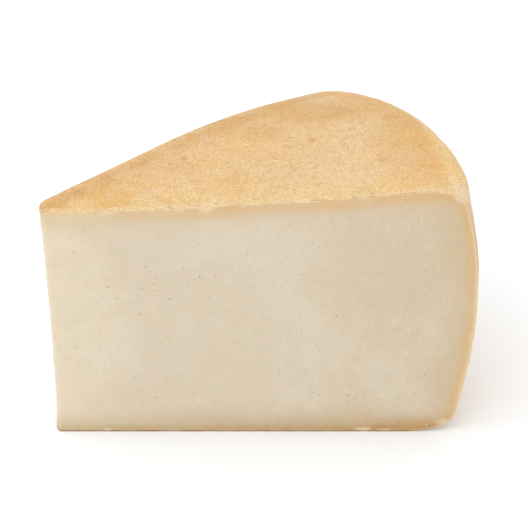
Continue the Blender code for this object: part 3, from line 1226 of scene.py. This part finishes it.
@dataclass
class Eyes:
    """The small eyes and slits in both cuts, and pinholes between them."""

    body: bpy.types.Object
    shape: WedgeBody
    front: tuple[Mark, ...]
    pinholes: PinholeSizes = PinholeSizes()
    back_count: int = 38
    back_middle: tuple[float, float] = (42.0, 57.0)
    back_spread: float = 22.0
    half_heights: tuple[float, float] = (0.25, 0.55)
    stretches: tuple[float, float] = (1.0, 3.0)
    tilts: tuple[float, float] = (-35.0, 35.0)
    margin: float = 8.0
    reach: tuple[float, float] = (135.0, 82.0)
    stray_reach: tuple[float, float] = (130.0, 80.0)
    stray_every: int = 3
    depth: float = 0.42
    shrink: float = 0.82
    seed: int = 12

    def back(self) -> list[Mark]:
        """Random marks for the back cut, most of them round one place, as in the front cut."""
        rng = random.Random(self.seed)
        marks: list[Mark] = []
        while len(marks) < self.back_count:
            spot = [rng.gauss(middle, self.back_spread) for middle in self.back_middle]
            if len(marks) % self.stray_every == 0:
                spot = [rng.uniform(self.margin, far) for far in self.stray_reach]
            if all(self.margin < each < far for each, far in zip(spot, self.reach)):
                half_height = rng.uniform(*self.half_heights)
                half_length = half_height * rng.uniform(*self.stretches)
                marks.append(Mark(*spot, half_length, half_height, rng.uniform(*self.tilts)))
        return marks

    def marks_object(self) -> bpy.types.Object:
        """A vertex for each mark, which holds the mark's size and turn.

        Returns:
            The object.
        """
        sizes = self.shape.sizes
        places, scales, turns = [], [], []
        for cut, marks in ((Cut.FRONT, self.front), (Cut.BACK, self.back())):
            heading = sizes.wedge_angle * cut.value
            forward = Vector((math.cos(heading), math.sin(heading), 0.0))
            start = self.shape.middle() + Vector((0.0, sizes.tip_width * cut.value, 0.0))
            for mark in marks:
                level = Vector((0.0, 0.0, mark.height * MM))
                places.append(start + forward * (mark.along * MM) + level)
                half_height = mark.half_height * self.shrink * MM
                half_length = mark.half_length * self.shrink * MM
                scales.append((half_length, half_height * self.depth, half_height))
                turns.append((0.0, -math.radians(mark.tilt), heading))
        mesh = bpy.data.meshes.new("marks")
        mesh.from_pydata([tuple(place) for place in places], [], [])
        for name, values in (("scale", scales), ("turn", turns)):
            flat = [number for value in values for number in value]
            mesh.attributes.new(name, "FLOAT_VECTOR", "POINT").data.foreach_set("vector", flat)
        holder = bpy.data.objects.new("marks", mesh)
        bpy.context.collection.objects.link(holder)
        return holder

    def sink(self, wall: bpy.types.Material) -> None:
        """Cuts the eyes out of the body.

        Args:
            wall: The material of their walls.
        """
        marks = self.marks_object()
        tree = GeometryTree("Eyes")
        holder = tree.input("Marks", "Object", marks)
        material = tree.input("Wall", "Material", wall)
        sizes = tree.sizes(self.pinholes)
        seed = tree.input("Seed", "Int", self.seed)

        ball = tree.add("GeometryNodeMeshIcoSphere", {"Radius": 1.0, "Subdivisions": 3})
        points = tree.add("GeometryNodeObjectInfo", {"Object": holder}, "Geometry",
                          transform_space="RELATIVE")
        euler = tree.attribute("turn", "FLOAT_VECTOR")
        eyes = tree.add("GeometryNodeInstanceOnPoints", {
            "Points": points,
            "Instance": ball,
            "Rotation": tree.add("FunctionNodeEulerToRotation", {0: euler}),
            "Scale": tree.attribute("scale", "FLOAT_VECTOR"),
        })
        on_paste = tree.add("FunctionNodeBooleanMath", {0: tree.attribute("rind", "BOOLEAN")},
                            operation="NOT")
        spots = tree.add("GeometryNodeDistributePointsOnFaces", {
            "Mesh": tree.geometry,
            "Selection": on_paste,
            "Distance Min": sizes.spacing,
            "Density Max": sizes.density,
            "Density Factor": 0.5,
            "Seed": seed,
        }, distribute_method="POISSON")
        radius = tree.random(sizes.smallest, sizes.largest, seed)
        pinholes = tree.add("GeometryNodeInstanceOnPoints", {
            "Points": spots,
            "Instance": tree.add("GeometryNodeMeshIcoSphere", {"Radius": 1.0, "Subdivisions": 2}),
            "Rotation": spots.output("Rotation"),
            "Scale": tree.vector(1.0, 1.0, sizes.depth_share) * radius,
        })
        cutters = tree.add("GeometryNodeJoinGeometry", {0: eyes})
        tree.tree.links.new(pinholes.socket, cutters.socket.node.inputs[0])
        cutters = tree.add("GeometryNodeRealizeInstances", {"Geometry": cutters})
        point = tree.add("GeometryNodeInputPosition")
        wander = tree.noise(point, 0.0011, 2.0) - 0.5
        offset = tree.add("GeometryNodeInputNormal") * wander * sizes.unevenness * 2
        cutters = tree.add("GeometryNodeSetPosition", {"Geometry": cutters, "Offset": offset})
        cutters = tree.add("GeometryNodeStoreNamedAttribute",
                           {"Geometry": cutters, "Name": "eye", "Value": True},
                           data_type="BOOLEAN", domain="FACE")
        cut = tree.add("GeometryNodeMeshBoolean", {"Mesh 1": tree.geometry, "Mesh 2": cutters},
                       operation="DIFFERENCE", solver="MANIFOLD")
        cut = tree.add("GeometryNodeRealizeInstances", {"Geometry": cut})
        tree.run(self.body, tree.dressed(cut, material, tree.attribute("eye", "BOOLEAN")))
        bpy.data.objects.remove(marks)


@dataclass(frozen=True)
class CrumbSizes:
    """How many crumbs a square metre has, where, and their sizes, in metres and as shares."""

    density: float = 9000.0
    rim_density: float = 16000.0
    foot_density: float = 34000.0
    foot_low: float = 0.0052
    foot_high: float = 0.0092
    base_line: float = 0.0012
    smallest: float = 0.00012
    largest: float = 0.00030
    flatness: float = 0.35
    longest: float = 3.0
    seed: int = 31


@dataclass
class Crumbs:
    """Pale crystals and crumbs of curd on the cuts: more of them by the rim and at the foot."""

    cheese: bpy.types.Object
    sizes: CrumbSizes = CrumbSizes()

    def build(self, finish: bpy.types.Material) -> bpy.types.Object:
        """Scatters the crumbs.

        Args:
            finish: Their material.

        Returns:
            The crumbs, as one piece.
        """
        crumbs = bpy.data.objects.new("crumbs", self.cheese.data)
        bpy.context.collection.objects.link(crumbs)
        tree = GeometryTree("Crumbs")
        material = tree.input("Finish", "Material", finish)
        sizes = tree.sizes(self.sizes)

        covered = tree.add("FunctionNodeBooleanMath", {
            0: tree.attribute("rind", "BOOLEAN"), 1: tree.attribute("eye", "BOOLEAN"),
        }, operation="NOR")
        point = tree.add("GeometryNodeInputPosition")
        above, to_side = tree.attribute("above_base"), tree.attribute("to_side")
        patchy = tree.noise(point, 0.016, 2.0).ramp(0.42, 0.60)
        low_line = above.ramp(sizes.foot_low - MM, sizes.foot_low)
        low_line = low_line * above.ramp(sizes.foot_high, sizes.foot_high - MM)
        base_line = above.ramp(sizes.base_line, sizes.base_line * 0.5) * 2
        foot = (low_line + base_line) * tree.noise(point + 0.3, 0.009, 1.0).ramp(0.48, 0.56)
        by_rim = sizes.rim_density * to_side.ramp(60 * MM, 30 * MM)
        below_band = tree.attribute("under_top").ramp(6 * MM, 14 * MM)
        many = (sizes.density + by_rim) * patchy * below_band
        spots = tree.add("GeometryNodeDistributePointsOnFaces", {
            "Mesh": tree.geometry,
            "Selection": covered,
            "Density": many + sizes.foot_density * foot,
            "Seed": sizes.seed,
        }, distribute_method="RANDOM")
        size = tree.random(sizes.smallest, sizes.largest, sizes.seed)
        length = tree.random(1.0, sizes.longest, sizes.seed + 1)
        turned = tree.add("FunctionNodeRotateRotation", {
            "Rotation": spots.output("Rotation"),
            "Rotate By": tree.add("FunctionNodeEulerToRotation", {
                0: tree.vector(0.0, 0.0, tree.random(0.0, math.tau, sizes.seed + 2))}),
        }, rotation_space="LOCAL")
        placed = tree.add("GeometryNodeInstanceOnPoints", {
            "Points": spots,
            "Instance": tree.add("GeometryNodeMeshIcoSphere", {"Radius": 1.0, "Subdivisions": 1}),
            "Rotation": turned,
            "Scale": tree.vector(length, 1.0, sizes.flatness) * size,
        })
        solid = tree.add("GeometryNodeRealizeInstances", {"Geometry": placed})
        tree.run(crumbs, tree.dressed(solid, material))
        return crumbs


@dataclass(frozen=True)
class Studio:
    """The floor, the soft light and the camera at the photo's viewing angle."""

    lens: float = 121.3
    sensor: float = 36.0
    camera_place: Vector = Vector((0.00086, -0.57974, 0.37736))
    camera_target: Vector = Vector((0.00086, -0.05323, 0.07016))
    floor_half_size: float = 3.0
    floor_colour: Colour = (0.93, 0.955, 0.98, 1.0)
    floor_roughness: float = 0.9
    sky_strength: float = 1.00
    key_place: Vector = Vector((-0.45, -0.45, 1.20))
    key_target: Vector = Vector((0.0, 0.0, 0.05))
    key_size: float = 1.50
    key_power: float = 5.5

    def build(self) -> None:
        """Builds all of it."""
        self.add_floor()
        self.add_light()
        self.add_camera()
        bpy.context.scene.view_settings.view_transform = "Standard"

    def add_floor(self) -> None:
        """A wide pale floor under the cheese."""
        half = self.floor_half_size
        mesh = bpy.data.meshes.new("floor")
        mesh.from_pydata([(-half, -half, 0), (half, -half, 0), (half, half, 0), (-half, half, 0)],
                         [], [(0, 1, 2, 3)])
        material = MaterialGraph("floor").finish(self.floor_colour, self.floor_roughness, 0.0)
        mesh.materials.append(material)
        floor = bpy.data.objects.new("floor", mesh)
        bpy.context.collection.objects.link(floor)

    def add_light(self) -> None:
        """A white surrounding and one large soft lamp from the upper left."""
        world = bpy.data.worlds.new("studio")
        world.use_nodes = True
        background = world.node_tree.nodes["Background"]
        background.inputs["Color"].default_value = (1.0, 1.0, 1.0, 1.0)
        background.inputs["Strength"].default_value = self.sky_strength
        bpy.context.scene.world = world
        light = bpy.data.lights.new("key", "AREA")
        light.energy = self.key_power
        light.size = self.key_size
        key = bpy.data.objects.new("key", light)
        self.aim(key, self.key_place, self.key_target)

    def add_camera(self) -> None:
        """The camera, at the photo's viewing angle."""
        data = bpy.data.cameras.new("camera")
        data.lens = self.lens
        data.sensor_width = self.sensor
        camera = bpy.data.objects.new("camera", data)
        self.aim(camera, self.camera_place, self.camera_target)
        bpy.context.scene.camera = camera

    @staticmethod
    def aim(thing: bpy.types.Object, place: Vector, target: Vector) -> None:
        """Puts a lamp or camera in its place, turned towards a target."""
        bpy.context.collection.objects.link(thing)
        thing.location = place
        thing.rotation_euler = (target - place).to_track_quat("-Z", "Y").to_euler()


FRONT_EYES = tuple(Mark(*each) for each in (
    (14.3, 84.8, 0.5, 0.35, 0), (10.5, 75.0, 0.4, 0.3, 0), (9.0, 36.2, 0.6, 0.4, 0),
    (10.4, 17.0, 0.5, 0.4, 0), (16.0, 50.7, 0.6, 0.45, 0), (21.5, 61.1, 0.6, 0.5, 0),
    (24.7, 56.4, 0.6, 0.45, 10), (28.2, 55.0, 1.1, 0.35, 10), (29.4, 58.4, 0.6, 0.35, 30),
    (30.4, 53.0, 0.6, 0.4, -20), (32.0, 49.9, 1.0, 0.65, 5), (35.2, 69.1, 0.9, 0.4, -30),
    (36.0, 67.2, 0.5, 0.35, 20), (37.9, 64.4, 0.6, 0.4, 20), (37.1, 62.0, 0.6, 0.45, 0),
    (37.8, 59.6, 0.5, 0.4, 0), (38.7, 57.4, 0.6, 0.4, 30), (42.9, 56.2, 1.6, 0.45, 8),
    (33.7, 60.5, 0.6, 0.5, 0), (48.1, 68.4, 0.5, 0.4, 0), (53.4, 65.1, 0.3, 0.7, 0),
    (51.4, 79.6, 0.5, 0.35, 0), (58.7, 65.8, 0.3, 0.8, 5), (64.7, 69.1, 0.5, 0.35, 0),
    (64.6, 61.1, 0.7, 0.3, 0), (67.9, 61.8, 0.6, 0.35, 15), (69.9, 74.1, 0.4, 0.35, 0),
    (78.6, 82.6, 0.4, 0.3, 0), (84.0, 85.4, 0.5, 0.35, 0), (78.5, 58.7, 0.5, 0.35, 0),
    (79.7, 43.4, 0.4, 0.35, 0), (73.6, 33.0, 0.6, 0.4, -15), (65.8, 38.3, 0.5, 0.4, 0),
    (66.1, 23.3, 0.4, 0.3, 0), (49.7, 44.4, 0.4, 0.3, 0), (39.8, 38.3, 0.5, 0.3, 0),
    (26.3, 23.0, 0.4, 0.35, 0), (29.6, 23.8, 0.5, 0.3, 10), (33.3, 24.5, 0.5, 0.3, 10),
    (37.0, 14.8, 0.6, 0.45, 0), (56.8, 16.3, 0.5, 0.4, 0), (51.6, 11.8, 0.6, 0.35, 0),
    (64.8, 12.2, 0.5, 0.35, 40), (80.9, 26.3, 0.5, 0.4, 0), (86.3, 22.3, 0.4, 0.35, 0),
    (88.2, 66.0, 1.1, 0.5, -35), (88.7, 75.4, 0.8, 0.35, 10), (91.5, 76.3, 0.5, 0.35, 0),
    (94.1, 77.0, 0.5, 0.6, 10), (91.9, 70.4, 0.6, 0.35, -30), (88.4, 48.2, 0.4, 0.3, 0),
    (88.4, 43.0, 0.5, 0.4, 0), (96.8, 53.7, 0.5, 0.4, 0), (100.7, 49.2, 0.6, 0.7, 0),
    (95.0, 34.6, 0.6, 0.35, 0), (92.9, 17.3, 0.6, 0.4, -15), (94.9, 16.2, 1.1, 0.4, -15),
    (105.8, 16.1, 1.1, 0.5, 0), (88.2, 10.8, 0.9, 0.35, -20), (98.0, 10.1, 0.5, 0.3, 0),
    (110.9, 10.8, 0.6, 0.4, 0), (107.5, 41.0, 0.7, 0.5, -15), (114.5, 48.2, 0.8, 0.6, 0),
    (104.8, 88.0, 0.4, 0.3, 0), (119.1, 43.4, 0.5, 0.35, 0), (124.3, 50.3, 0.6, 0.35, 0),
    (128.2, 55.3, 1.3, 0.3, 20), (130.8, 67.1, 0.6, 0.8, 15), (136.6, 49.6, 0.9, 0.4, 0),
    (135.6, 45.5, 0.6, 0.35, 0), (134.1, 32.2, 0.5, 0.4, 0), (132.8, 24.5, 0.4, 0.6, 0),
    (118.8, 24.5, 0.4, 0.3, 0),
))


def main() -> None:
    """Builds the cheese and its studio."""
    logging.basicConfig(level=logging.INFO, format="%(message)s")
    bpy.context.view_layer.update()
    wedge = WedgeBody(WedgeSizes(), ReliefSizes())
    body = wedge.build(RindFinish().material(), PasteFinish().material())
    LOG.info("body: %d faces", len(body.data.polygons))
    # The eyes' walls are a little darker than the paste: partly painted shade inside the eyes
    wall = GrainFinish("eye_wall", paint(219, 203, 176, FRONT_LIGHT), roughness=0.50, glow=0.25)
    Eyes(body, wedge, FRONT_EYES).sink(wall.material())
    LOG.info("eyes: %d faces", len(body.data.polygons))
    crystal = GrainFinish("crystal", paint(226, 212, 188, FRONT_LIGHT), roughness=0.45, glow=0.0)
    crumbs = Crumbs(body).build(crystal.material())
    LOG.info("crumbs: %d faces", len(crumbs.data.polygons))
    for piece in (body, crumbs):
        piece.data.shade_smooth()
        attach(piece, BODY)
    body.data.set_sharp_from_angle(angle=SHARP_ANGLE)
    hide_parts(NODE)
    Studio().build()


if __name__ == "__main__":
    main()
